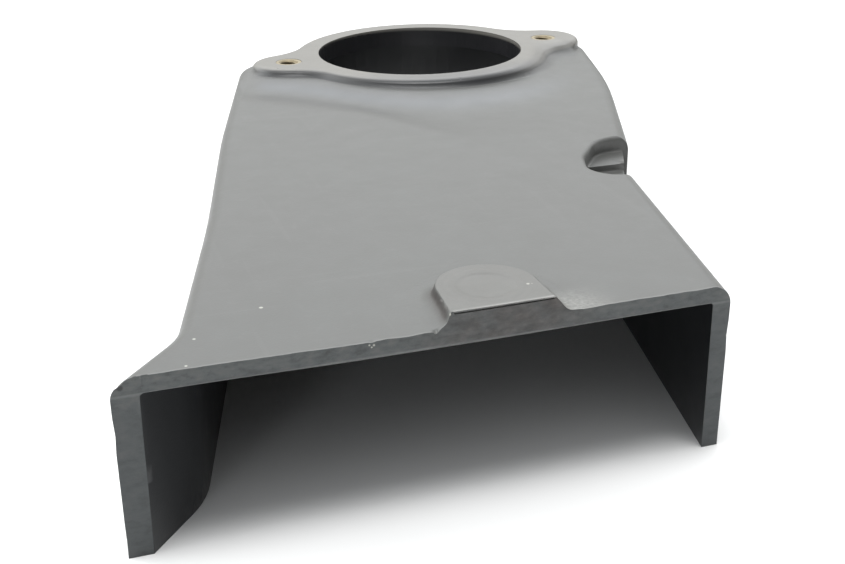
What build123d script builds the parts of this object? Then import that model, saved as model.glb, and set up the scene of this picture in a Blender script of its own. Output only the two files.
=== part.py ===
from build123d import *
import math
import os

# Camshaft cover: a shallow moulded shell, open underneath and cut off square
# at its front end, with a round far end that carries a raised two-bolt flange.
# Millimetres, +Z up, z = 0 at the rim the cover stands on.
# The plan is first laid out from the middle of the front cut, then shifted so
# that the origin is the middle of the footprint.

# ---- driving dimensions -------------------------------------------------
PLATE_TOP = 30.0          # top of the flat plate above the rim
PLATE_T = 2.75            # plate thickness
WALL_T = 2.9              # side wall thickness at its root
DRAFT = 0.6               # degrees, inside of the walls
EDGE_R = 3.3              # outer rounding along the top of the walls
INNER_R = 0.5             # inner rounding between plate and walls

FRONT_HALF = 50.0         # half the width of the front cut
HOLE_X, HOLE_Y = 52.6, 167.7    # axis of the round hole
HOLE_R = 28.2             # round hole through the flange
# the walls, front to back: a point on each straight part and the degrees it leans
LEFT_WALL = (((-50.0, 0.0), 40.1), ((-36.8, 20.6), 15.15), ((-25.7, 61.6), 13.1), ((-12.7, 117.3), 15.1))
RIGHT_WALL = (((50.0, 0.0), 12.3), ((62.1, 56.8), 24.2), ((81.0, 100.7), 21.9), ((96.9, 144.8), 15.6))
LEFT_BENDS = (-18.0, -500.0, 500.0)    # radii between them, negative where the wall is hollow
RIGHT_BENDS = (-8.0, 200.0, 260.0)
END_R = 39.6              # the far end goes round the hole and round both inserts
SIDE_R = 14.0

FLANGE_TOP = 33.0
RING_R = 34.8             # round middle of the flange
EAR_L, EAR_L_R = (-37.3, 0.0), 9.8     # ears round the two inserts, from the hole's axis
EAR_R, EAR_R_R = (38.0, 1.2), 10.0
WAIST_R = 16.0            # hollow corners between ring and ears
FLANGE_EDGE_R = 1.6
FOOT_R = 0.8              # hollow blend from the plate up to the flange

INSERT_X = 37.4           # insert axes either side of the hole axis
INSERT_R = 3.5            # brass inserts
INSERT_BORE_R = 2.1
INSERT_L = 10.0
INSERT_TOP = 33.0
BOSS_R = 6.2

PAD_X0, PAD_X1 = 1.6, 18.5      # D-shaped pad at the front cut
PAD_CY = 8.0
PAD_TOP = 32.9
PAD_RAMP = 2.5            # straight ramps from the plate up to the pad's top

LEDGE_TOP = 26.5          # ledge and floor of the bolt recess in the right edge
LEDGE_Y = 73.0
SEAT_TOP = 24.9
SEAT_T = 3.0
RECESS = ((61.2, 63.6, 6.2), (64.2, 67.3, 7.8), (69.7, 71.8, 9.4))    # x, y, radius
RECESS_EDGE_R = 1.0
WALL_RELIEF = 1.3         # the wall's outer face is set back below the recess
BOLT_X, BOLT_Y, BOLT_R = 61.9, 65.6, 3.0
BOLT_BOSS_R = 5.6

UP = (Align.CENTER, Align.CENTER, Align.MIN)


def lean(deg):
    a = math.radians(deg)
    return math.sin(a), math.cos(a)


def cross_point(p, d, q, e):
    """Where the line through p along d meets the line through q along e."""
    det = d[0] * -e[1] + e[0] * d[1]
    rx, ry = q[0] - p[0], q[1] - p[1]
    t = (rx * -e[1] + e[0] * ry) / det
    return p[0] + d[0] * t, p[1] + d[1] * t


def inward(p, deg, side, inset):
    """The wall line through p, leaning deg, moved inwards; side +1 left, -1 right."""
    s, c = lean(deg)
    return (p[0] + side * inset * c, p[1] - side * inset * s), (s, c)


def near_vertex(face, p):
    return min(face.vertices(), key=lambda v: math.dist((v.X, v.Y), p))


def tangent_centre(wall, side, r, y):
    """Centre, at height y, of a circle of radius r that touches a wall from inside."""
    (px, py), deg = wall
    s, c = lean(deg)
    return px + (y - py) * s / c + side * r / c, y


def common_tangent(p, r, q, t):
    """Outer tangent of two circles, on the left when going from p to q."""
    d = math.dist(p, q)
    a = math.atan2(q[1] - p[1], q[0] - p[0]) + math.acos((r - t) / d)
    n = (math.cos(a), math.sin(a))
    return (p[0] + r * n[0], p[1] + r * n[1]), (q[0] + t * n[0], q[1] + t * n[1])


def plan(inset, front_y):
    """Plan outline of the shell, moved inwards by inset, its open end at front_y."""
    left = [inward(p, deg, 1, inset) for p, deg in LEFT_WALL]
    right = [inward(p, deg, -1, inset) for p, deg in RIGHT_WALL]
    front = ((0, front_y), (1, 0))
    lc = [cross_point(*m, *n) for m, n in zip([front] + left, left)]
    rc = [cross_point(*m, *n) for m, n in zip([front] + right, right)]
    cl = tangent_centre(LEFT_WALL[-1], 1, SIDE_R, HOLE_Y + 0.6)
    cr = tangent_centre(RIGHT_WALL[-1], -1, SIDE_R, HOLE_Y + 0.6)
    hole = (HOLE_X, HOLE_Y)
    side, end = SIDE_R - inset, END_R - inset
    u, v = left[-1][1], right[-1][1]
    a0 = (cl[0] - side * u[1], cl[1] + side * u[0])
    b0 = (cr[0] + side * v[1], cr[1] - side * v[0])
    a1, h0 = common_tangent(cl, side, hole, end)
    h1, b1 = common_tangent(hole, end, cr, side)

    def mid(c, r, p, q):
        x, y = (p[0] + q[0]) / 2 - c[0], (p[1] + q[1]) / 2 - c[1]
        k = r / math.hypot(x, y)
        return c[0] + x * k, c[1] + y * k

    lines = [Line(p, q) for p, q in zip(lc, lc[1:] + [a0])]
    lines += [
        ThreePointArc(a0, mid(cl, side, a0, a1), a1), Line(a1, h0),
        ThreePointArc(h0, mid(hole, end, h0, h1), h1), Line(h1, b1),
        ThreePointArc(b1, mid(cr, side, b1, b0), b0),
    ]
    lines += [Line(p, q) for p, q in zip([b0] + rc[:0:-1], rc[::-1])]
    lines.append(Line(rc[0], lc[0]))
    face = make_face(lines)
    for points, bends in ((lc[1:], LEFT_BENDS), (rc[1:], RIGHT_BENDS)):
        for p, r in zip(points, bends):
            face = fillet(near_vertex(face, p), r - inset if r > 0 else inset - r)
    return face


def raised(sketch, z0, z1, taper=0.0):
    face = sketch.face()
    if face.normal_at().Z < 0:
        face = -face
    part = extrude(Pos(0, 0, z0) * face, z1 - z0, taper=taper)
    if part.bounding_box().max.Z < (z0 + z1) / 2:
        part = mirror(part, about=Plane.XY.offset(z0))
    return part


def top_edges(part, z, y_min=-1e9):
    return [e for e in part.edges() if abs(e.center().Z - z) < 1e-6 and e.center().Y > y_min]


outer_plan = plan(0, 0)
footprint = outer_plan.bounding_box()
SHIFT = Pos(-(footprint.min.X + footprint.max.X) / 2, -(footprint.min.Y + footprint.max.Y) / 2, 0)


def shell_block(height, radius):
    """Plan raised to height, its top edge rounded everywhere but at the front cut."""
    block = raised(outer_plan, 0, height)
    return fillet(top_edges(block, height, 1e-6), radius)


# ---- the shell's outside with its two-bolt flange -------------------------
body = shell_block(PLATE_TOP, EDGE_R)
left_xy = (HOLE_X - INSERT_X, HOLE_Y)
right_xy = (HOLE_X + INSERT_X, HOLE_Y)
ears = tuple((HOLE_X + p[0], HOLE_Y + p[1], r) for p, r in ((EAR_L, EAR_L_R), (EAR_R, EAR_R_R)))
flange_plan = Pos(HOLE_X, HOLE_Y) * Circle(RING_R)
for x, y, r in ears:
    flange_plan += Pos(x, y) * Circle(r)
corners = [
    v for v in flange_plan.vertices()
    if abs(math.dist((v.X, v.Y), (HOLE_X, HOLE_Y)) - RING_R) < 1e-3
    and min(abs(math.dist((v.X, v.Y), (x, y)) - r) for x, y, r in ears) < 1e-3
]
flange_plan = fillet(corners, WAIST_R)
flange = raised(flange_plan, 0, FLANGE_TOP)
flange = fillet(top_edges(flange, FLANGE_TOP), FLANGE_EDGE_R)
flange = flange & shell_block(FLANGE_TOP, 1.6)
outside = body + flange

rim = flange_plan.face().outer_wire()
foot = [
    e for e in outside.edges()
    if abs(e.center().Z - PLATE_TOP) < 1e-3
    and all(rim.distance_to(Vertex(e.position_at(t).X, e.position_at(t).Y, 0)) < 1e-2 for t in (0.2, 0.5, 0.8))
]
outside = fillet(foot, FOOT_R)

# ---- pad at the front cut -------------------------------------------------
pad_hw = (PAD_X1 - PAD_X0) / 2
pad_cx = (PAD_X0 + PAD_X1) / 2
pad_plan = Pos(pad_cx, PAD_CY) * Circle(pad_hw) + Pos(pad_cx, PAD_CY / 2) * Rectangle(2 * pad_hw, PAD_CY)
pad = raised(pad_plan, PLATE_TOP - 1, PAD_TOP)
pad = fillet(top_edges(pad, PAD_TOP, 0.01), 0.45)
outside = outside + pad
pad_foot = [
    e for e in outside.edges()
    if abs(e.center().Z - PLATE_TOP) < 1e-4
    and PAD_X0 - 1 < e.center().X < PAD_X1 + 1 and 0.01 < e.center().Y < PAD_CY + pad_hw + 1
]
outside = chamfer(pad_foot, PAD_RAMP)
# fine undercut below the pad's front lip
outside -= Pos(pad_cx, 0, PAD_TOP - 0.34) * Box(2 * pad_hw - 1.0, 0.9, 0.22)

# ---- inside ---------------------------------------------------------------
ceiling = PLATE_TOP - PLATE_T
cavity = raised(plan(WALL_T, -20), 0, ceiling, taper=DRAFT)
cavity = fillet(top_edges(cavity, ceiling, -19.0), INNER_R)
cover = outside - cavity
cover -= Pos(0, -25, 0) * Box(400, 50, 200)

# bosses under the inserts, the bolt boss and the underside of the recess
lumps = Pos(*left_xy, INSERT_TOP - INSERT_L - 1.2) * Cylinder(BOSS_R, 7, align=UP)
lumps += Pos(*right_xy, INSERT_TOP - INSERT_L - 1.2) * Cylinder(BOSS_R, 7, align=UP)
lumps += Pos(BOLT_X, BOLT_Y, 0) * Cylinder(BOLT_BOSS_R, SEAT_TOP, align=UP)
recess_plan = make_hull([Pos(x, y) * Edge.make_circle(r) for x, y, r in RECESS])
pocket_plan = make_hull([Pos(x, y) * Edge.make_circle(r + 2.6) for x, y, r in RECESS])
lumps += raised(pocket_plan, SEAT_TOP - SEAT_T, ceiling + 0.5)
cover = cover + (lumps & outside)
front_half = Pos(0, LEDGE_Y - 50, 0) * Box(400, 100, 200)
recess = raised(recess_plan, LEDGE_TOP, PLATE_TOP) + (raised(recess_plan, SEAT_TOP, PLATE_TOP) & front_half)
recess = fillet([
    e for e in recess.edges()
    if abs(e.center().Z - SEAT_TOP) < 1e-6
    or (abs(e.center().Z - LEDGE_TOP) < 1e-6 and abs(e.center().Y - LEDGE_Y) > 0.01)
], 0.6)
above = make_hull([Pos(x, y) * Edge.make_circle(r + 5) for x, y, r in RECESS])
recess = recess + raised(above, PLATE_TOP, 40)
mouth = recess_plan.face().outer_wire()
recess = fillet([
    e for e in recess.edges()
    if abs(e.center().Z - PLATE_TOP) < 1e-6
    and all(mouth.distance_to(Vertex(e.position_at(t).X, e.position_at(t).Y, 0)) < 1e-2 for t in (0.2, 0.5, 0.8))
], RECESS_EDGE_R)
cover -= recess
cover -= raised(recess_plan, -1, LEDGE_TOP + 1) - raised(plan(WALL_RELIEF, -20), -2, LEDGE_TOP + 2)

# holes
cover -= Pos(HOLE_X, HOLE_Y, 0) * Cylinder(HOLE_R, 100)
for x, y in (left_xy, right_xy):
    cover -= Pos(x, y, INSERT_TOP - INSERT_L) * Cylinder(INSERT_R, 60, align=UP)
cover -= Pos(BOLT_X, BOLT_Y, 0) * Cylinder(BOLT_R, 100)
cover = SHIFT * cover

# ---- brass inserts, pressed in flush ---------------------------------------
inserts = {}
for name, (x, y) in (("left_insert", left_xy), ("right_insert", right_xy)):
    ring = Pos(x, y, INSERT_TOP - INSERT_L) * Cylinder(INSERT_R, INSERT_L, align=UP)
    ring -= Pos(x, y, 0) * Cylinder(INSERT_BORE_R, 100)
    bore_mouth = [
        e for e in ring.edges()
        if abs(e.center().Z - INSERT_TOP) < 1e-6 and e.length < 2 * math.pi * (INSERT_BORE_R + 0.1)
    ]
    inserts[name] = SHIFT * chamfer(bore_mouth, 0.4)

os.makedirs("parts", exist_ok=True)
export_step(cover, "parts/cover.step")
for name, ring in inserts.items():
    export_step(ring, "parts/%s.step" % name)
print("cover", cover.is_valid, len(cover.solids()), round(cover.volume), cover.bounding_box())
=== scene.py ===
import math

import bmesh
import bpy
import numpy as np
from mathutils import Matrix, Vector


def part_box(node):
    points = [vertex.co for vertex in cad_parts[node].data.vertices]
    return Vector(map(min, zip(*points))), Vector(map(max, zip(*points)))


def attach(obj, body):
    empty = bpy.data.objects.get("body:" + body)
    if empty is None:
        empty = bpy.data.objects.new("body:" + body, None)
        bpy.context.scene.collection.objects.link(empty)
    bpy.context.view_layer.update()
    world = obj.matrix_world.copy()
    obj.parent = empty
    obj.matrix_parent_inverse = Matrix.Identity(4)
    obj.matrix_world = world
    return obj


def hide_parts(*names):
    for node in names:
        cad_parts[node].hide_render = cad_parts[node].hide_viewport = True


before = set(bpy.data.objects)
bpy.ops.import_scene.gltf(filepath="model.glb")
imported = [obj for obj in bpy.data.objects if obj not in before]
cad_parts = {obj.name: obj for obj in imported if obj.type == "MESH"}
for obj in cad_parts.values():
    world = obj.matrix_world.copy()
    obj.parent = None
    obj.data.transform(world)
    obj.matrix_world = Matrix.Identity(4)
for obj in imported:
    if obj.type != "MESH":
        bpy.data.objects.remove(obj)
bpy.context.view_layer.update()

# Lengths in this file are millimetres unless a name says otherwise. Places on the
# moulding are measured from the middle of the front cut; the frame's origin is
# SHX, SHY away from there.
MM = 0.001
SHX, SHY = 26.463, 103.65


def smooth(lo, hi, x):
    t = np.clip((x - lo) / (hi - lo), 0.0, 1.0)
    return t * t * (3 - 2 * t)


# ---------------------------------------------------------------- camera
def make_camera():
    pan, pitch, roll = math.radians(18.52), math.radians(23.39), math.radians(0.47)
    fwd = Vector((math.sin(pan) * math.cos(pitch), math.cos(pan) * math.cos(pitch), -math.sin(pitch)))
    right = Vector((math.cos(pan), -math.sin(pan), 0.0))
    down = fwd.cross(right)
    right, down = right * math.cos(roll) + down * math.sin(roll), down * math.cos(roll) - right * math.sin(roll)
    rot = Matrix((right, -down, -fwd)).transposed().to_4x4()
    cam = bpy.data.cameras.new("camera")
    cam.sensor_width = 36.0
    cam.lens = 36.0 * 1260.0 / 845.0
    cam.clip_start, cam.clip_end = 0.01, 20.0
    ob = bpy.data.objects.new("camera", cam)
    ob.matrix_world = Matrix.Translation((-0.084263, -0.26629, 0.1125)) @ rot
    bpy.context.scene.collection.objects.link(ob)
    bpy.context.scene.camera = ob


make_camera()


# ---------------------------------------------------------------- node helpers
def new_material(name):
    mat = bpy.data.materials.new(name)
    mat.use_nodes = True
    nt = mat.node_tree
    nt.nodes.clear()
    out = nt.nodes.new("ShaderNodeOutputMaterial")
    bsdf = nt.nodes.new("ShaderNodeBsdfPrincipled")
    nt.links.new(bsdf.outputs[0], out.inputs[0])
    return mat, nt, bsdf


class Graph:
    def __init__(self, nt):
        self.nt = nt
        tc = nt.nodes.new("ShaderNodeTexCoord")
        self.co = tc.outputs["Object"]

    def link(self, a, b):
        self.nt.links.new(a, b)

    def noise(self, scale, detail=3.0, rough=0.55, stretch=None, rot=None, dist=0.0):
        n = self.nt.nodes.new("ShaderNodeTexNoise")
        n.inputs["Scale"].default_value = scale
        n.inputs["Detail"].default_value = detail
        n.inputs["Roughness"].default_value = rough
        n.inputs["Distortion"].default_value = dist
        src = self.co
        if stretch or rot:
            m = self.nt.nodes.new("ShaderNodeMapping")
            if rot:
                m.inputs["Rotation"].default_value = rot
            if stretch:
                m.inputs["Scale"].default_value = stretch
            self.link(src, m.inputs["Vector"])
            src = m.outputs[0]
        self.link(src, n.inputs["Vector"])
        return n.outputs["Fac"]

    def voronoi(self, scale, feature="F1"):
        n = self.nt.nodes.new("ShaderNodeTexVoronoi")
        n.feature = feature
        n.inputs["Scale"].default_value = scale
        self.link(self.co, n.inputs["Vector"])
        return n.outputs["Distance"]

    def axis(self, i):
        """One coordinate in millimetres: x and y from the middle of the front cut, z above the rim."""
        n = self.nt.nodes.new("ShaderNodeSeparateXYZ")
        self.link(self.co, n.inputs[0])
        return self.math("MULTIPLY_ADD", n.outputs[i], 1000.0, (SHX, SHY, 0.0)[i])

    def spot(self, x, y, z, r0, r1):
        """1 inside r0 of a point on the moulding, 0 outside r1."""
        n = self.nt.nodes.new("ShaderNodeVectorMath")
        n.operation = "DISTANCE"
        self.link(self.co, n.inputs[0])
        n.inputs[1].default_value = ((x - SHX) * MM, (y - SHY) * MM, z * MM)
        return self.remap(n.outputs["Value"], r0 * MM, r1 * MM, 1.0, 0.0, "SMOOTHSTEP")

    def remap(self, v, a, b, c=0.0, d=1.0, kind="LINEAR"):
        n = self.nt.nodes.new("ShaderNodeMapRange")
        n.interpolation_type = kind
        for i, x in zip(("From Min", "From Max", "To Min", "To Max"), (a, b, c, d)):
            n.inputs[i].default_value = x
        self.link(v, n.inputs["Value"])
        return n.outputs[0]

    def math(self, op, a, b=None, c=None, clamp=False):
        n = self.nt.nodes.new("ShaderNodeMath")
        n.operation = op
        n.use_clamp = clamp
        for k, v in ((0, a), (1, b), (2, c)):
            if v is None:
                continue
            if isinstance(v, (int, float)):
                n.inputs[k].default_value = v
            else:
                self.link(v, n.inputs[k])
        return n.outputs[0]

    def times(self, *values):
        out = values[0]
        for v in values[1:]:
            out = self.math("MULTIPLY", out, v)
        return out

    def most(self, *values):
        out = values[0]
        for v in values[1:]:
            out = self.math("MAXIMUM", out, v)
        return out

    def mix(self, fac, a, b, blend="MIX"):
        n = self.nt.nodes.new("ShaderNodeMix")
        n.data_type = "RGBA"
        n.blend_type = blend
        if isinstance(fac, (int, float)):
            n.inputs[0].default_value = fac
        else:
            self.link(fac, n.inputs[0])
        for k, v in ((6, a), (7, b)):
            if isinstance(v, tuple):
                n.inputs[k].default_value = (*v, 1.0)
            else:
                self.link(v, n.inputs[k])
        return n.outputs[2]

    def attr(self, name):
        n = self.nt.nodes.new("ShaderNodeAttribute")
        n.attribute_name = name
        return n.outputs["Fac"]

    def bump(self, height, strength, distance, normal=None):
        n = self.nt.nodes.new("ShaderNodeBump")
        n.inputs["Strength"].default_value = strength
        n.inputs["Distance"].default_value = distance
        self.link(height, n.inputs["Height"])
        if normal is not None:
            self.link(normal, n.inputs["Normal"])
        return n.outputs[0]


# ---------------------------------------------------------------- plastic
PALE_SPECKS = (
    (16.36, 6.03, 32.9, 0.22, 0.42), (16.95, 5.85, 32.9, 0.10, 0.28),
    (-38.87, 0.93, 30.0, 0.12, 0.30), (-36.34, 9.39, 30.0, 0.14, 0.34), (-24.45, 17.4, 30.0, 0.20, 0.44),
    (49.94, 0.0, 20.95, 0.12, 0.30), (-11.05, 0.0, 29.15, 0.08, 0.26), (-11.75, 0.0, 29.25, 0.06, 0.22),
    (-11.4, 0.0, 28.85, 0.06, 0.2), (0.98, 0.0, 32.3, 0.10, 0.32),
)
DARK_SPECKS = ((-1.07, 0.05, 29.95, 0.22, 0.52), (-1.55, 0.0, 29.85, 0.10, 0.34), (-48.46, 0.0, 28.54, 0.25, 0.6))


def plastic():
    mat, nt, bsdf = new_material("cover_plastic_moulded")
    g = Graph(nt)
    x, y, z = g.axis(0), g.axis(1), g.axis(2)
    broad = g.noise(22.0, 3.0, 0.5)
    mid = g.noise(160.0, 4.0, 0.6)
    mottle = g.noise(620.0, 3.0, 0.6)
    grain = g.noise(2600.0, 2.0, 0.6)
    dust = g.voronoi(1400.0)
    cut = g.attr("cut")
    edge = g.attr("edge_highlight")
    tone = g.mix(g.remap(broad, 0.3, 0.7), (0.0775, 0.0805, 0.0760), (0.0850, 0.0860, 0.0820))
    tone = g.mix(g.remap(mid, 0.35, 0.75, 0.0, 0.4), tone, (0.096, 0.096, 0.091))
    tone = g.mix(g.remap(mottle, 0.55, 0.8, 0.0, 0.3), tone, (0.112, 0.112, 0.108))
    # dust caught in the grain
    speck = g.times(g.remap(dust, 0.05, 0.16, 1.0, 0.0), g.remap(mid, 0.58, 0.70))
    tone = g.mix(g.times(speck, 0.35), tone, (0.24, 0.24, 0.23))
    # the trimmed front edge: fine streaks along the cut, browner where the pad ends
    streak = g.noise(260.0, 4.0, 0.65, stretch=(0.22, 1.0, 2.6))
    cut_tone = g.mix(g.remap(streak, 0.3, 0.7), (0.058, 0.065, 0.066), (0.080, 0.086, 0.086))
    under = g.times(g.remap(x, -6.0, 3.0, 0.0, 1.0, "SMOOTHSTEP"), g.remap(x, 19.0, 28.0, 1.0, 0.0, "SMOOTHSTEP"))
    torn = g.noise(520.0, 4.0, 0.7, stretch=(0.7, 1.0, 1.3))
    cut_tone = g.mix(g.times(under, g.remap(z, 26.5, 28.0), g.remap(mid, 0.35, 0.65, 0.3, 0.95)), cut_tone, g.mix(g.remap(streak, 0.3, 0.7), (0.044, 0.040, 0.038), (0.066, 0.060, 0.056)))
    cut_tone = g.mix(g.remap(torn, 0.5, 0.7, 0.0, 0.6), cut_tone, (0.115, 0.112, 0.108))
    cut_tone = g.mix(g.remap(torn, 0.48, 0.3, 0.0, 0.7), cut_tone, (0.024, 0.024, 0.025))
    cut_tone = g.mix(g.times(under, g.remap(mid, 0.4, 0.6, 0.2, 1.0), 0.55), cut_tone, (0.92, 0.82, 0.80), "MULTIPLY")
    # painted shade: the walls' cut faces darker towards the bottom
    cut_tone = g.mix(g.remap(z, 27.0, 24.0, 0.0, 0.5), cut_tone, (0.040, 0.046, 0.049))
    # painted highlight: a thin light line along the cut's lower edge
    lower_edge_highlight = g.times(g.remap(z, 27.24, 27.42, 1.0, 0.0), g.remap(z, 26.8, 27.1))
    cut_tone = g.mix(g.times(lower_edge_highlight, g.remap(mid, 0.35, 0.6, 0.2, 0.8)), cut_tone, (0.16, 0.168, 0.165))
    tone = g.mix(cut, tone, cut_tone)
    # the pad's top is cleaner; the pad's front lip and the cut's top edge get a painted highlight
    uncut = g.math("SUBTRACT", 1.0, cut)
    tone = g.mix(g.times(g.attr("pad_top"), uncut, g.remap(mottle, 0.35, 0.7, 0.75, 1.0)), tone, (0.112, 0.111, 0.103))
    edge_glint = g.times(edge, g.most(uncut, g.remap(z, 32.5, 32.65)))
    tone = g.mix(g.times(edge_glint, g.remap(mid, 0.3, 0.7, 0.3, 0.85)), tone, (0.34, 0.34, 0.33))
    scuff = g.times(
        g.remap(x, 18.0, 20.5, 0.0, 1.0, "SMOOTHSTEP"), g.remap(x, 22.5, 31.0, 1.0, 0.0, "SMOOTHSTEP"),
        g.remap(g.math("ADD", y, g.math("MULTIPLY", mid, 4.0)), 3.0, 12.0, 1.0, 0.0, "SMOOTHSTEP"), g.math("SUBTRACT", 1.0, cut),
    )
    rubbed = g.noise(1500.0, 4.0, 0.7)
    tone = g.mix(g.times(scuff, g.remap(rubbed, 0.32, 0.68, 0.15, 1.0)), tone, (0.21, 0.21, 0.195))
    # faint long scratches
    hair = g.noise(90.0, 1.0, 0.4, stretch=(0.25, 7.0, 1.0), rot=(0.0, 0.0, 0.95))
    hair2 = g.noise(70.0, 1.0, 0.4, stretch=(6.0, 0.3, 1.0), rot=(0.0, 0.0, 0.35))
    scratch = g.most(g.remap(hair, 0.705, 0.73), g.remap(hair2, 0.70, 0.725))
    tone = g.mix(g.times(scratch, 0.045), tone, (0.17, 0.17, 0.165))
    # the flange's ground top is smoother and warmer, its tone running from painted shade on the near side to a painted
    # highlight towards the far side; the wall of the hole is painted near black as shade
    seat = g.times(g.remap(z, 31.2, 31.7), g.remap(y, 110.0, 116.0))
    # painted highlight: a lighter band on the plate in front of the flange
    tone = g.mix(g.times(g.attr("highlight_band"), 0.8), tone, (0.116, 0.122, 0.128))
    # painted shade: a darker band further out on the plate in front of the flange
    tone = g.mix(g.times(g.attr("shade_band"), 0.5), tone, (0.058, 0.059, 0.059))
    seat_tone = g.mix(g.remap(y, 133.0, 152.0, 0.0, 1.0, "SMOOTHSTEP"), (0.096, 0.095, 0.094), (0.162, 0.155, 0.139))
    tone = g.mix(g.times(seat, 0.85), tone, seat_tone)
    # painted shade: near black in the corner below the flange's near side
    tone = g.mix(g.attr("corner"), tone, (0.014, 0.015, 0.017))
    from_hole = g.math("SQRT", g.math("ADD", g.math("POWER", g.math("SUBTRACT", x, 52.6), 2.0), g.math("POWER", g.math("SUBTRACT", y, 167.7), 2.0)))
    # painted shade: the wall of the hole made near black
    bore = g.times(g.remap(from_hole, 28.24, 28.5, 1.0, 0.0), g.remap(z, 31.6, 32.2, 1.0, 0.0))
    tone = g.mix(g.times(bore, 0.95), tone, (0.010, 0.010, 0.012))
    # painted shade: the faces inside the shell made near black
    inner = g.attr("inner")
    tone = g.mix(g.times(inner, 0.95), tone, (0.009, 0.010, 0.012))
    dark = g.most(*[g.spot(*s) for s in DARK_SPECKS])
    tone = g.mix(g.times(dark, 0.85), tone, (0.012, 0.012, 0.013))
    pale = g.most(*[g.spot(*s) for s in PALE_SPECKS])
    tone = g.mix(g.times(pale, 0.8), tone, (0.46, 0.46, 0.41))
    # painted shade along the pad's steep left flank
    flank = g.attr("flank")
    tone = g.mix(g.times(flank, uncut, 0.8), tone, (0.030, 0.023, 0.021))
    g.link(tone, bsdf.inputs["Base Color"])
    rough = g.remap(mid, 0.3, 0.7, 0.39, 0.45)
    rough = g.math("ADD", rough, g.remap(broad, 0.3, 0.7, -0.015, 0.015))
    rough = g.math("ADD", rough, g.times(cut, 0.12))
    rough = g.math("SUBTRACT", rough, g.times(seat, 0.05))
    rough = g.math("SUBTRACT", rough, g.times(g.most(inner, bore), 0.10))
    rough = g.math("ADD", rough, g.times(g.most(speck, pale), 0.08))
    g.link(rough, bsdf.inputs["Roughness"])
    bsdf.inputs["IOR"].default_value = 1.5
    n1 = g.bump(grain, 0.32, 0.00006)
    n2 = g.bump(mid, 0.22, 0.00012, n1)
    n3 = g.bump(g.times(g.most(cut, scuff), g.math("ADD", streak, torn)), 0.6, 0.00012, n2)
    g.link(n3, bsdf.inputs["Normal"])
    return mat


def brass():
    mat, nt, bsdf = new_material("insert_brass_aged")
    g = Graph(nt)
    broad = g.noise(500.0, 3.0, 0.6)
    fine = g.noise(4200.0, 3.0, 0.6)
    depth = g.attr("depth")
    tone = g.mix(g.remap(broad, 0.3, 0.7), (0.25, 0.215, 0.145), (0.35, 0.305, 0.215))
    # painted shade: darker and browner deeper down the bore
    tone = g.mix(g.times(depth, 0.9), tone, (0.20, 0.155, 0.09))
    g.link(tone, bsdf.inputs["Base Color"])
    bsdf.inputs["Metallic"].default_value = 0.6
    g.link(g.remap(broad, 0.3, 0.7, 0.50, 0.64), bsdf.inputs["Roughness"])
    g.link(g.bump(fine, 0.3, 0.00003), bsdf.inputs["Normal"])
    return mat


# ---------------------------------------------------------------- the moulding's mesh
def cut_planes(bm, axis, lo, hi, step):
    no = [0.0, 0.0, 0.0]
    no[axis] = 1.0
    n = int(round((hi - lo) / step))
    for i in range(n + 1):
        co = [0.0, 0.0, 0.0]
        co[axis] = (lo + i * step) * MM
        geom = bm.verts[:] + bm.edges[:] + bm.faces[:]
        bmesh.ops.bisect_plane(bm, geom=geom, dist=1e-7, plane_co=co, plane_no=no)


def refine(bm, inside, limit):
    """Halves the longer edges of the upward faces whose middle is in a region (from the front cut's middle)."""
    edges = set()
    for f in bm.faces:
        c = f.calc_center_median()
        if f.normal.z > 0.2 and inside(c.x / MM + SHX, c.y / MM + SHY, c.z / MM):
            edges.update(e for e in f.edges if e.calc_length() > limit * MM)
    bmesh.ops.subdivide_edges(bm, edges=list(edges), cuts=1, use_grid_fill=True)
    bmesh.ops.triangulate(bm, faces=[f for f in bm.faces if len(f.verts) > 4])


def smin(a, b, k):
    h = np.clip(0.5 + 0.5 * (b - a) / k, 0.0, 1.0)
    return b * (1 - h) + a * h - k * h * (1 - h)


def smax(a, b, k):
    return -smin(-a, -b, k)


def flange_distance(x, y):
    """Distance outside the flange's outline, in the plane, roughly."""
    ring = np.hypot(x - 52.6, y - 167.7) - 34.8
    left = np.hypot(x - 15.3, y - 167.7) - 9.8
    right = np.hypot(x - 90.6, y - 168.9) - 10.0
    return smin(smin(ring, left, 9.0), right, 9.0)


def flange_drop(x, y):
    """How far the warped far end lies below its nominal height."""
    return np.minimum(0.0, 0.011 * (x - 52.6) - 0.42) * smooth(60.0, 140.0, y)


LEFT_RIM = ((0.0, -50.0), (13.34, -38.77), (61.6, -25.7), (117.3, -12.7), (168.0, 0.98))     # y, x down the left wall
RIGHT_RIM = ((0.0, 50.0), (58.0, 62.65), (83.3, 74.0), (129.9, 92.74), (168.0, 103.38))


RECESS = ((61.2, 63.6, 6.2), (64.2, 67.3, 7.8), (69.7, 71.8, 9.4))    # x, y, radius of the bolt recess


def rim_distance(x, y):
    """Distance inside the nearer side wall's outer face."""
    left = (x - np.interp(y, *zip(*LEFT_RIM))) * 0.965
    right = (np.interp(y, *zip(*RIGHT_RIM)) - x) * 0.93
    return np.minimum(left, right)


def flange_shape(x, d):
    """1 on the flange's top, 0 on the plate, d outside its outline: round shoulder, steep wall, hollow foot."""
    right = smooth(68.0, 86.0, x)
    wide = 2.6 + 3.4 * right                   # how far in the shoulder starts
    fall = 0.60                                # how much of the height it takes
    last = 0.985 - 0.12 * right
    t = np.clip((d + wide) / wide, 0.0, last)
    top = 1.0 - fall * (1 - np.sqrt(1 - t * t))
    start = wide * last - wide
    foot = np.clip((d - start) / (1.3 + 3.2 * right), 0.0, 1.0)
    return top * (1 - foot) ** 2


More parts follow.
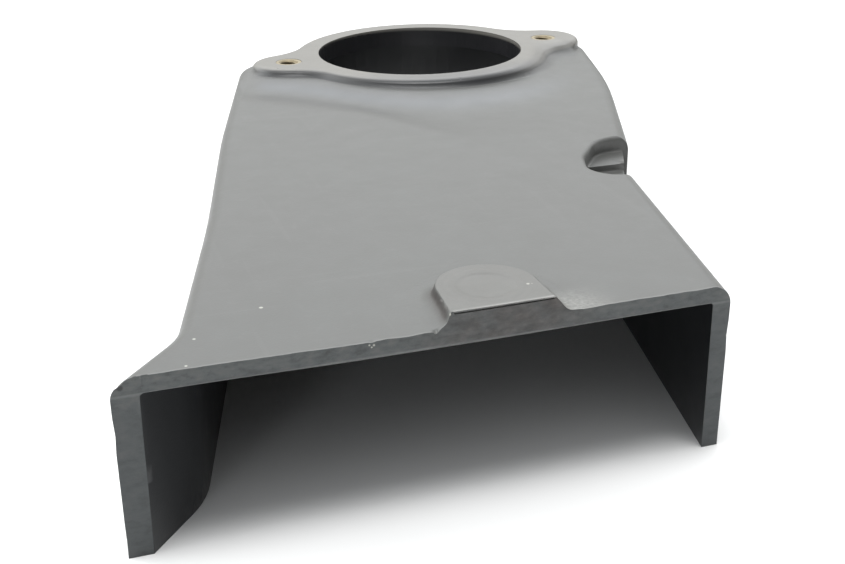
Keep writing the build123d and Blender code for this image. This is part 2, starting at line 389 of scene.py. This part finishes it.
def flare(x, y, d, inside):
    """The plate's rise to the flange and the broad dip in front of it."""
    side = 0.25 + 0.75 * (1 - smooth(45.0, 88.0, x))
    middle = smooth(20.0, 42.0, x)
    out = 11.5 + 9.0 * middle
    up = 0.5 * (1 - smooth(0.0, out, d)) * smooth(3.4, 10.0, inside) * (1 - smooth(156.0, 168.0, y))
    down = -1.05 * smooth(0.0, out, d) * (1 - smooth(out, out + 12.0 + 15.0 * middle, d))
    return side * (up + down) * smooth(60.0, 90.0, y)


def waves(x, y, seed, wavelength, n=7):
    rng = np.random.default_rng(seed)
    out = np.zeros_like(x)
    for _ in range(n):
        a = rng.uniform(0, 2 * math.pi)
        k = 2 * math.pi / (wavelength * rng.uniform(0.7, 1.5))
        out += np.sin(k * (x * math.cos(a) + y * math.sin(a)) + rng.uniform(0, 2 * math.pi))
    return out / math.sqrt(n)


PAD_X, PAD_Y, PAD_R = 10.25, 8.05, 8.35
PAD_LEFT, PAD_LEAN, PAD_RIGHT = 1.1, 0.1, 18.55    # straight sides of the pad's top, the left one leaning


def pad_height(x, y):
    """Height of the pad above the plate: flat top, steep flanks, hollow feet, faint rings, a lip at the cut."""
    sides = np.maximum(PAD_LEFT + PAD_LEAN * y - x, x - PAD_RIGHT)
    s = np.where(y < PAD_Y, sides, np.hypot(x - PAD_X, y - PAD_Y) - PAD_R)
    left = 1 - smooth(0.5, 7.0, x)
    ramp = 2.85 - (1.22 + 2.4 * left) * s
    h = smax(smin(ramp, np.full_like(s, 2.9), 0.35), np.zeros_like(s), 1.1)
    # a soft hollow outside the steep left flank
    hollow = 1.85 * left * np.clip(1 - s / (2.9 + 0.6 * smooth(1.0, 5.0, y)), 0.0, 1.0) ** 2.0
    h = np.where(s > 0, smax(h, hollow, 0.25), h)
    r = np.hypot(x - 9.9, y - 8.0)
    top = 1 - smooth(-1.2, -0.3, s)
    h -= 0.14 * top * (1 - smooth(4.3, 5.2, r))
    h += 0.026 * top * np.cos(2 * math.pi * (r - 5.9) / 1.7) * smooth(4.9, 5.5, r) * (1 - smooth(7.2, 8.2, r))
    h += 0.06 * (1 - smooth(-0.4, 0.2, s)) * (1 - smooth(0.0, 0.9, y))
    return h, s


def shape_cover(co, on_top):
    """Moves the moulding's points as the real one has warped, sunk and been knocked. co is in millimetres."""
    x, y, z = co[:, 0] + SHX, co[:, 1] + SHY, co[:, 2].copy()
    out_y = np.zeros_like(z)
    out_x = np.zeros_like(z)
    # pad
    near_pad = on_top & (y < 24.0) & (x > -6.0) & (x < 27.0) & (z > 29.98)
    groove = (np.abs(z - 32.45) < 0.03) & (y < 0.46) & (np.abs(x - 10.05) < 7.96)
    near_pad &= ~groove
    ends = (y < 0.46) & (z > 32.4) & (z < 32.7) & (np.abs(np.abs(x - 10.05) - 7.95) < 0.03)
    out_x += np.where(ends, np.sign(x - 10.05) * 0.38, 0.0)
    h, s = pad_height(x, y)
    z = np.where(near_pad & (s < 4.6), 30.0 + h, z)
    dz = np.zeros_like(z)
    # the plate sags a little between the walls at its cut edge
    across = smooth(-38.0, -10.0, x) * (1 - smooth(4.0, 42.0, x))
    along = 1 - smooth(0.0, 58.0, y)
    dz -= 0.27 * across * along * smooth(26.4, 27.3, z)
    # the flange leans, and its near side is a round shoulder with a hollow foot
    d = flange_distance(x, y)
    z = np.where((z > 30.0) & (y > 100.0), 30.0 + (z - 30.0) * (3.0 + flange_drop(x, y)) / 3.0, z)
    inside = rim_distance(x, y)
    near = smooth(3.4, 6.5, inside) * (1 - smooth(166.0, 172.0, y)) * (1 - smooth(30.0, 40.0, d))
    near = np.where((z > 29.98) & (y > 100.0) & (d > -9.0), near, 0.0)
    e = 0.05
    gx = (flange_distance(x + e, y) - flange_distance(x - e, y)) / (2 * e)
    gy = (flange_distance(x, y + e) - flange_distance(x, y - e)) / (2 * e)
    shear = (0.22 + 0.4 * smooth(68.0, 86.0, x)) * (31.5 - z) * np.exp(-((d / 3.0) ** 2)) * near
    out_x += gx * shear
    out_y += gy * shear
    plate = on_top & (z < 30.9)
    foot = smooth(29.0, 30.0, z)
    rise = flare(x, y, np.maximum(d, 0.0), inside)
    shape = flange_shape(x, d + shear)
    thick = 3.0 + flange_drop(x, np.full_like(x, 150.0))
    dz += np.where(plate & (d > 0), (1 - near) * rise * foot, 0.0)
    z = np.where(near > 0, z + near * (30.0 + rise + (thick - rise) * shape - z), z)
    # slow waves of a thin moulding
    wave = 0.030 * waves(x, y, 5, 46.0) + 0.006 * waves(x, y, 9, 13.0)
    dz += np.where(plate, wave * smooth(1.0, 12.0, y) * foot, 0.0)
    # the trimmed edge isn't quite straight
    ragged = 0.035 * waves(x, z * 0.7, 21, 7.0, 9) + 0.02 * waves(x, z, 22, 2.2, 9)
    dz += np.where(on_top & (y < 0.6) & (z < 31.0), ragged * (1 - smooth(0.0, 0.6, y)), 0.0)
    # knocks: the chip at the pad's left foot, the worn corner, the nick and the flash on the left wall
    for px, pz, r, depth in ((-1.07, 30.0, 0.75, 0.42), (-48.46, 28.9, 0.9, 0.30), (-11.35, 30.0, 0.6, 0.12)):
        w = np.clip(1 - np.hypot(x - px, y * 1.2) / r, 0.0, 1.0)
        dz -= np.where(z > pz - 1.6, depth * smooth(0.0, 0.7, w), 0.0)
    for px, pz, r, depth in ((-49.97, 20.61, 0.7, 0.28), (-49.98, 2.3, 0.9, 0.22), (49.94, 20.95, 0.6, 0.15)):
        w = np.clip(1 - np.sqrt((x - px) ** 2 + (y * 1.0) ** 2 + (z - pz) ** 2) / r, 0.0, 1.0)
        out_x -= math.copysign(1.0, px) * depth * smooth(0.0, 0.8, w)
    out = co.copy()
    out[:, 0] += out_x
    out[:, 1] += out_y
    out[:, 2] = z + dz
    return out


def mark(mesh, name, domain, values):
    """Writes one number per point or face for the material to read."""
    layer = mesh.attributes.new(name, "FLOAT", domain)
    layer.data.foreach_set("value", values.astype(np.float32))


def make_cover(cad, mat):
    bm = bmesh.new()
    bm.from_mesh(cad.data)
    bmesh.ops.remove_doubles(bm, verts=bm.verts, dist=2e-6)
    bmesh.ops.dissolve_limit(
        bm, angle_limit=math.radians(0.05), use_dissolve_boundaries=False, verts=bm.verts, edges=bm.edges
    )
    cut_planes(bm, 0, -75.0, 75.0, 2.5)
    cut_planes(bm, 1, -102.5, 102.5, 2.5)
    cut_planes(bm, 2, 3.0, 24.0, 3.0)
    bmesh.ops.triangulate(bm, faces=[f for f in bm.faces if len(f.verts) > 4])
    bm.normal_update()

    def by_flange(x, y, z):
        return z > 29.5 and flange_distance(np.float64(x), np.float64(y)) < 38.0 and y > 70.0

    def by_shoulder(x, y, z):
        return z > 29.5 and -7.0 < flange_distance(np.float64(x), np.float64(y)) < 5.0 and 100.0 < y < 173.0

    def by_pad(x, y, z):
        return z > 29.5 and -7.0 < x < 28.0 and y < 24.0

    def by_edge(x, y, z):
        return z > 26.0 and y < 1.3

    refine(bm, by_flange, 1.3)
    refine(bm, by_shoulder, 0.66)
    for limit in (1.3, 0.66, 0.42):
        refine(bm, by_pad, limit)
    for limit in (1.3, 0.66, 0.5):
        refine(bm, by_edge, limit)
    bm.normal_update()
    top = np.zeros(len(bm.verts), bool)
    bm.verts.index_update()
    for f in bm.faces:
        if f.normal.z > 0.15:
            for v in f.verts:
                top[v.index] = True
    mesh = bpy.data.meshes.new("cover_moulding")
    bm.to_mesh(mesh)
    bm.free()
    n = len(mesh.vertices)
    co = np.empty(n * 3)
    mesh.vertices.foreach_get("co", co)
    flat = co.reshape(-1, 3) / MM
    moved = shape_cover(flat, top)
    mesh.vertices.foreach_set("co", (moved * MM).ravel())
    mesh.update()
    for p in mesh.polygons:
        p.use_smooth = True
    mesh.set_sharp_from_angle(angle=math.radians(32.0))
    # which faces are the trimmed front edge, and where that edge gets a painted highlight
    on_cut = flat[:, 1] + SHY < 0.02
    mark(mesh, "cut", "FACE", np.array([all(on_cut[v] for v in p.vertices) for p in mesh.polygons]))
    # which faces look into the shell; they get painted shade
    is_inner = []
    for p in mesh.polygons:
        c = flat[list(p.vertices)].mean(axis=0)
        fx, fy, fz = c[0] + SHX, c[1] + SHY, c[2]
        n = p.normal
        along = min(fy, 167.7)                 # the shell's middle line runs from the cut to the hole
        faces_in = n.x * (along * 52.6 / 167.7 - fx) + n.y * (along - fy if fy > 167.7 else 0.0) > 0
        in_bore = math.hypot(fx - 52.6, fy - 167.7) < 28.6
        in_recess = fz > 18.0 and any(math.hypot(fx - a, fy - b) < r + 0.3 for a, b, r in RECESS)
        level = n.z < -0.5
        wall = abs(n.z) <= 0.5 and faces_in and rim_distance(fx, fy) > 0.8
        is_inner.append(float((wall or level) and 0.02 < fy and 0.01 < fz < 27.3 and not in_bore and not in_recess))
    mark(mesh, "inner", "FACE", np.array(is_inner))
    x, y, z = flat[:, 0] + SHX, flat[:, 1] + SHY, flat[:, 2]
    s = pad_height(x, y)[1]
    mark(mesh, "pad_top", "POINT", (1 - smooth(-0.3, 0.1, s)) * (z > 31.5) * (y < 24))
    # painted shade in the corner below the flange, and a painted highlight band and a painted shade band on the plate
    # in front of it
    d = flange_distance(x, y)
    near = smooth(3.4, 6.5, rim_distance(x, y)) * (1 - smooth(160.0, 170.0, y)) * (z > 29.9) * (y > 100.0)
    shape = flange_shape(x, d + 0.22 * (31.5 - z) * np.exp(-((d / 3.0) ** 2)))
    depth = 0.88 - 0.06 * (1 - smooth(22.0, 40.0, x)) - 0.62 * smooth(57.0, 80.0, x)
    mark(mesh, "corner", "POINT", near * depth * smooth(0.0, 0.14, shape) * (1 - smooth(0.82, 1.0, shape)))
    level = (z > 29.9) * (z < 30.7) * (d > 0.5) * smooth(4.0, 9.0, rim_distance(x, y)) * (1 - smooth(60.0, 92.0, x))
    middle = smooth(20.0, 42.0, x)
    mark(mesh, "highlight_band", "POINT", level * np.exp(-(((d - 6.8 - 3.7 * middle) / (3.4 + 1.6 * middle)) ** 2)))
    mark(mesh, "shade_band", "POINT", level * np.exp(-(((d - 15.0 - 6.0 * middle) / 4.2) ** 2)) * (1 - smooth(24.0, 44.0, x)))
    # painted shade along the pad's steep left flank
    beside = smooth(-0.05, 0.2, s) * (1 - smooth(0.1, 1.7, s)) * (1 - smooth(2.0, 7.5, x)) * smooth(0.4, 2.0, y)
    mark(mesh, "flank", "POINT", beside * (z > 29.9) * (y < 20.0))
    # painted highlight along the pad's front lip and the cut's top edge
    lip = (1 - smooth(0.1, 0.7, y)) * (z > 32.6)
    rim = (1 - smooth(0.0, 0.5, y)) * (z > 29.9) * 0.35
    mark(mesh, "edge_highlight", "POINT", np.maximum(lip, rim * top))
    mesh.materials.append(mat)
    ob = bpy.data.objects.new("cover_moulding", mesh)
    bpy.context.scene.collection.objects.link(ob)
    wn = ob.modifiers.new("normals", "WEIGHTED_NORMAL")
    wn.keep_sharp = True
    wn.weight = 50
    print("cover mesh", n, "points", len(mesh.polygons), "faces")
    return ob


# ---------------------------------------------------------------- brass inserts
def make_insert(name, node, mat):
    lo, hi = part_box(node)
    cx, cy = (lo.x + hi.x) / 2 / MM, (lo.y + hi.y) / 2 / MM
    z0 = lo.z / MM
    # its top is flush with the ear that it is pressed into
    z1 = hi.z / MM + float(flange_drop(np.float64(cx + SHX), np.float64(cy + SHY))) - 0.03
    R, minor, major, pitch = (hi.x - lo.x) / 2 / MM, 2.12, 2.46, 0.8
    seg = 48
    rings = []                               # (radius, z, depth mark) down the outside, then up the bore
    profile = [
        (R - 0.10, z0, 0.0), (R, z0 + 0.12, 0.0), (R, z1 - 0.18, 0.0), (R - 0.10, z1 - 0.02, 0.0),
        (R - 0.22, z1, 0.0), (major + 0.28, z1, 0.0), (major + 0.16, z1 - 0.05, 0.1), (major + 0.02, z1 - 0.26, 0.35),
    ]
    bm = bmesh.new()
    depth_layer = []

    def ring(radius_of, z_of, mark):
        vs = []
        for i in range(seg):
            a = 2 * math.pi * i / seg
            r, z = radius_of(a), z_of(a)
            vs.append(bm.verts.new(((cx + r * math.cos(a)) * MM, (cy + r * math.sin(a)) * MM, z * MM)))
            depth_layer.append(mark)
        return vs

    for r, z, mark in profile:
        rings.append(ring(lambda a, r=r: r, lambda a, z=z: z, mark))
    steps = 8                                # rings in one thread pitch
    z = z1 - 0.32
    while z > z0 + 0.3:
        def thread(a, z=z):
            phase = ((z - z0) / pitch - a / (2 * math.pi)) % 1.0
            tri = 1 - abs(2 * phase - 1)
            fade = min(1.0, (z1 - z) / 0.7)
            return minor + (major - minor) * (1 - min(1.0, max(0.0, (tri - 0.15) / 0.7)) * fade)
        mark = min(1.0, 0.45 + 0.55 * (z1 - z) / 2.0)
        rings.append(ring(thread, lambda a, z=z: z, mark))
        z -= pitch / steps
    rings.append(ring(lambda a: major, lambda a: z0 + 0.2, 1.0))
    rings.append(ring(lambda a: major + 0.2, lambda a: z0, 1.0))
    rings.append(rings[0])
    for a, b in zip(rings, rings[1:]):
        for i in range(seg):
            j = (i + 1) % seg
            bm.faces.new((a[i], a[j], b[j], b[i]))
    bmesh.ops.recalc_face_normals(bm, faces=bm.faces)
    mesh = bpy.data.meshes.new(name)
    bm.to_mesh(mesh)
    bm.free()
    at = mesh.attributes.new("depth", "FLOAT", "POINT")
    at.data.foreach_set("value", np.array(depth_layer, np.float32))
    for p in mesh.polygons:
        p.use_smooth = True
    mesh.set_sharp_from_angle(angle=math.radians(35.0))
    mesh.materials.append(mat)
    ob = bpy.data.objects.new(name, mesh)
    bpy.context.scene.collection.objects.link(ob)
    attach(ob, "root")
    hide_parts(node)
    return ob


plastic_mat = plastic()
brass_mat = brass()
cover = make_cover(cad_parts["cover"], plastic_mat)
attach(cover, "root")
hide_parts("cover")
make_insert("left_insert_threaded", "left_insert", brass_mat)
make_insert("right_insert_threaded", "right_insert", brass_mat)


# ---------------------------------------------------------------- floor and light
def make_floor():
    bm = bmesh.new()
    bmesh.ops.create_grid(bm, x_segments=8, y_segments=8, size=3.0)
    mesh = bpy.data.meshes.new("floor")
    bm.to_mesh(mesh)
    bm.free()
    mat, nt, bsdf = new_material("floor_pale")
    g = Graph(nt)
    g.link(g.mix(g.remap(g.noise(9.0), 0.3, 0.7), (0.84, 0.84, 0.835), (0.87, 0.87, 0.865)), bsdf.inputs["Base Color"])
    bsdf.inputs["Roughness"].default_value = 0.75
    bsdf.inputs["Specular IOR Level"].default_value = 0.3
    mesh.materials.append(mat)
    ob = bpy.data.objects.new("floor", mesh)
    bpy.context.scene.collection.objects.link(ob)


def area(name, loc, look_at, size, power, colour=(1, 1, 1)):
    data = bpy.data.lights.new(name, "AREA")
    data.shape = "RECTANGLE"
    data.size, data.size_y = size
    data.energy = power
    data.color = colour
    ob = bpy.data.objects.new(name, data)
    ob.location = loc
    ob.rotation_euler = (Vector(look_at) - Vector(loc)).to_track_quat("-Z", "Y").to_euler()
    bpy.context.scene.collection.objects.link(ob)
    return ob


FRONT_LOW, FRONT_HIGH = 0.05, 0.60       # radiance of the studio in front of the part, near the floor and above
BACK_LOW, BACK_RATE, BACK_HIGH = 0.42, 4.1, 1.2    # and behind it: at the floor, how fast it brightens upwards, overhead


LEFT_GAIN = 1.9       # the studio is brighter far to the left


def make_world():
    world = bpy.data.worlds.new("studio")
    world.use_nodes = True
    nt = world.node_tree
    nt.nodes.clear()
    out = nt.nodes.new("ShaderNodeOutputWorld")
    bg = nt.nodes.new("ShaderNodeBackground")
    tc = nt.nodes.new("ShaderNodeTexCoord")
    sep = nt.nodes.new("ShaderNodeSeparateXYZ")
    nt.links.new(tc.outputs["Generated"], sep.inputs[0])

    def ramp(source, a, b, c, d):
        n = nt.nodes.new("ShaderNodeMapRange")
        n.interpolation_type = "SMOOTHSTEP"
        for i, v in zip(("From Min", "From Max", "To Min", "To Max"), (a, b, c, d)):
            n.inputs[i].default_value = v
        nt.links.new(source, n.inputs["Value"])
        return n.outputs[0]

    def blend(fac, a, b):
        n = nt.nodes.new("ShaderNodeMix")
        n.data_type = "FLOAT"
        nt.links.new(fac, n.inputs[0])
        nt.links.new(a, n.inputs[2])
        nt.links.new(b, n.inputs[3])
        return n.outputs[0]

    def calc(op, a, b=None):
        n = nt.nodes.new("ShaderNodeMath")
        n.operation = op
        nt.links.new(a, n.inputs[0])
        if b is not None:
            n.inputs[1].default_value = b
        return n.outputs[0]

    front = ramp(sep.outputs["Z"], 0.25, 0.75, FRONT_LOW, FRONT_HIGH)
    up = calc("MINIMUM", calc("MAXIMUM", sep.outputs["Z"], 0.0), 0.52)
    rising = calc("MULTIPLY", calc("EXPONENT", calc("MULTIPLY", up, BACK_RATE)), BACK_LOW)
    back = blend(ramp(sep.outputs["Z"], 0.5, 0.85, 0.0, 1.0), rising, ramp(sep.outputs["Z"], 0.5, 0.85, BACK_HIGH, BACK_HIGH))
    both = blend(ramp(sep.outputs["Y"], -0.35, 0.45, 0.0, 1.0), front, back)
    sides = nt.nodes.new("ShaderNodeMath")
    sides.operation = "MULTIPLY"
    nt.links.new(both, sides.inputs[0])
    nt.links.new(ramp(sep.outputs["X"], -0.25, -0.8, 1.0, LEFT_GAIN), sides.inputs[1])
    nt.links.new(sides.outputs[0], bg.inputs["Strength"])
    tint = nt.nodes.new("ShaderNodeMix")
    tint.data_type = "RGBA"
    tint.inputs[6].default_value = (1.0, 0.985, 0.95, 1.0)
    tint.inputs[7].default_value = (0.965, 0.985, 1.0, 1.0)
    nt.links.new(ramp(sep.outputs["Z"], 0.12, 0.5, 0.0, 1.0), tint.inputs[0])
    nt.links.new(tint.outputs[2], bg.inputs["Color"])
    nt.links.new(bg.outputs[0], out.inputs[0])
    bpy.context.scene.world = world


make_floor()
make_world()
area("key_low", (-0.95, -1.15, 0.26), (0.0, -0.06, 0.0), (0.25, 0.18), 1.6, (0.93, 0.96, 1.0))
area("top_soft", (-0.03, -0.16, 1.49), (0.0, -0.11, 0.0), (0.85, 0.50), 15.4)

vs = bpy.context.scene.view_settings
vs.view_transform = "Standard"
vs.look = "None"
vs.exposure = 0.0
vs.gamma = 1.0
